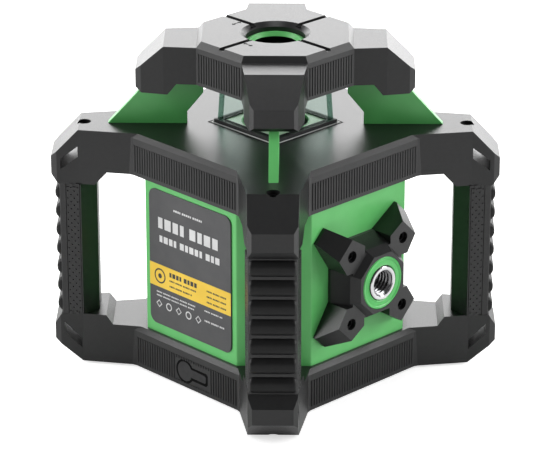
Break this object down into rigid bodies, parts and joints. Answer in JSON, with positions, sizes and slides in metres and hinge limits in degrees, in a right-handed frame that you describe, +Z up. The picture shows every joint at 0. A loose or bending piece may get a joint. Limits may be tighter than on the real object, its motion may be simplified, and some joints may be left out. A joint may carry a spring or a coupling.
{
  "type": "rotating laser level",
  "caption": "Compact rotating laser level with a capped, windowed spinning head, corner handles between two shock frames, a keypad, a battery door and side and base tripod threads.",
  "frame": {"origin": "centre of the footprint, on the surface that the feet stand on", "axes": "+Z up along the rotor's axis; +X out of the side tripod mount; -Y out of the label face"},
  "size_m": [0.1972, 0.1972, 0.199],
  "materials": {
    "alloy": "die cast",
    "battery_wrap": "shrink wrap",
    "black_plastic": "fine moulded grain",
    "black_steel": "black oxide",
    "board_green": "solder mask",
    "brass": "turned",
    "bright_steel": "turned and plated",
    "green_disc": "satin green paint",
    "green_plastic": "semi-gloss moulded green",
    "grip_rubber": "moulded grip",
    "inner_plastic": "plain",
    "key_rubber": "silicone",
    "label_grey": "printed film",
    "light_lens": "clear lens",
    "pale_plastic": "pale green",
    "panel_grey": "membrane",
    "red_lens": "dark red filter",
    "rubber": "soft black",
    "vial_glass": "clear",
    "white_plastic": "white satin",
    "window_glass": "clear, green at the edges",
    "zinc_steel": "zinc plated"
  },
  "bodies": {
    "chassis": {"base_plate": "alloy", "base_thread_insert": "bright_steel", "battery_bay": "inner_plastic", "battery_pack": "battery_wrap", "cap_fins": "green_plastic", "cap_screws": "zinc_steel", "charge_socket": "inner_plastic", "door_hinge_pin": "zinc_steel", "frame_screws": "black_steel", "gimbal_bridge": "alloy", "grip_1": "grip_rubber", "grip_2": "grip_rubber", "grip_3": "grip_rubber", "grip_4": "grip_rubber", "handle_cores": "alloy", "hinge_lugs": "black_plastic", "housing_shell": "green_plastic", "keypad_panel": "panel_grey", "label_plate": "label_grey", "level_motor": "zinc_steel", "lower_frame": "black_plastic", "main_board": "board_green", "receiver_window": "red_lens", "rubber_feet": "rubber", "side_disc": "green_disc", "side_thread_insert": "bright_steel", "star_mount": "black_plastic", "star_screws": "black_steel", "status_lights": "light_lens", "top_cap": "black_plastic", "upper_frame": "black_plastic", "window_floor": "pale_plastic", "window_gaskets": "rubber", "window_panes": "window_glass"},
    "rotor": {"rotor_shaft": "alloy", "rotor_pulley": "inner_plastic", "rotor_base": "white_plastic", "rotor_head": "green_plastic", "penta_prism": "vial_glass"},
    "cradle": {"laser_cradle": "alloy", "laser_module": "brass", "rotor_bearings": "bright_steel", "level_vials": "vial_glass", "spin_motor": "zinc_steel", "drive_belt": "rubber"},
    "motor_pulley": {"motor_pulley": "brass"},
    "gimbal_ring": {"gimbal_ring": "alloy", "tilt_motor": "zinc_steel"},
    "tilt_screw": {"tilt_screw": "zinc_steel"},
    "tilt_nut": {"tilt_nut": "brass"},
    "level_screw": {"level_screw": "zinc_steel"},
    "level_nut": {"level_nut": "brass"},
    "battery_door": {"battery_door": "black_plastic"},
    "door_latch": {"door_latch": "key_rubber"},
    "socket_flap": {"socket_flap": "rubber"},
    "key_power": {"key_power": "key_rubber"},
    "key_mode": {"key_mode": "key_rubber"},
    "key_speed": {"key_speed": "key_rubber"},
    "key_tilt_left": {"key_tilt_left": "key_rubber"},
    "key_tilt_right": {"key_tilt_right": "key_rubber"}
  },
  "joints": [
    {"name": "ring_tilt", "type": "hinge", "parent": "chassis", "child": "gimbal_ring", "pos_m": [0, 0, 0.13], "axis": [1, 0, 0], "range_deg": [-5, 5]},
    {"name": "cradle_tilt", "type": "hinge", "parent": "gimbal_ring", "child": "cradle", "pos_m": [0, 0, 0.13], "axis": [0, 1, 0], "range_deg": [-5, 5]},
    {"name": "rotor_spin", "type": "hinge", "parent": "cradle", "child": "rotor", "pos_m": [0, 0, 0.15], "axis": [0, 0, 1], "continuous": true},
    {"name": "motor_spin", "type": "hinge", "parent": "cradle", "child": "motor_pulley", "pos_m": [0.02, 0, 0.138], "axis": [0, 0, 1], "continuous": true},
    {"name": "level_nut_slide", "type": "slide", "parent": "chassis", "child": "level_nut", "axis": [0, 0, 1], "range_m": [-0.0038, 0.0038]},
    {"name": "level_screw_turn", "type": "hinge", "parent": "chassis", "child": "level_screw", "pos_m": [0, -0.042, 0.125], "axis": [0, 0, 1], "range_deg": [-1330, 1330]},
    {"name": "tilt_nut_slide", "type": "slide", "parent": "gimbal_ring", "child": "tilt_nut", "axis": [1, 0, 0], "range_m": [-0.004, 0.004]},
    {"name": "tilt_screw_turn", "type": "hinge", "parent": "gimbal_ring", "child": "tilt_screw", "pos_m": [-0.03, 0, 0.086], "axis": [1, 0, 0], "range_deg": [-1390, 1390]},
    {"name": "press_power", "type": "slide", "parent": "chassis", "child": "key_power", "axis": [1, 0, 0], "range_m": [0, 0.0008], "stiffness_N_per_m": 600, "springref_m": -0.0006},
    {"name": "press_mode", "type": "slide", "parent": "chassis", "child": "key_mode", "axis": [1, 0, 0], "range_m": [0, 0.0008], "stiffness_N_per_m": 600, "springref_m": -0.0006},
    {"name": "press_speed", "type": "slide", "parent": "chassis", "child": "key_speed", "axis": [1, 0, 0], "range_m": [0, 0.0008], "stiffness_N_per_m": 600, "springref_m": -0.0006},
    {"name": "press_tilt_left", "type": "slide", "parent": "chassis", "child": "key_tilt_left", "axis": [1, 0, 0], "range_m": [0, 0.0008], "stiffness_N_per_m": 600, "springref_m": -0.0006},
    {"name": "press_tilt_right", "type": "slide", "parent": "chassis", "child": "key_tilt_right", "axis": [1, 0, 0], "range_m": [0, 0.0008], "stiffness_N_per_m": 600, "springref_m": -0.0006},
    {"name": "battery_door_hinge", "type": "hinge", "parent": "chassis", "child": "battery_door", "pos_m": [0, 0.0696, 0.031], "axis": [-1, 0, 0], "range_deg": [0, 95]},
    {"name": "latch_turn", "type": "hinge", "parent": "battery_door", "child": "door_latch", "pos_m": [0, 0.07, 0.09], "axis": [0, 1, 0], "range_deg": [0, 90]},
    {"name": "socket_flap_hinge", "type": "hinge", "parent": "chassis", "child": "socket_flap", "pos_m": [0.0156, -0.0715, 0.011], "axis": [0, 0, 1], "range_deg": [0, 100]}
  ],
  "couplings": [
    {"joint": "motor_spin", "follows": "rotor_spin", "ratio": 2.5},
    {"joint": "level_nut_slide", "follows": "ring_tilt", "m_per_rad": -0.042},
    {"joint": "level_screw_turn", "follows": "ring_tilt", "ratio": 263.89},
    {"joint": "tilt_nut_slide", "follows": "cradle_tilt", "m_per_rad": -0.044},
    {"joint": "tilt_screw_turn", "follows": "cradle_tilt", "ratio": 276.46}
  ]
}
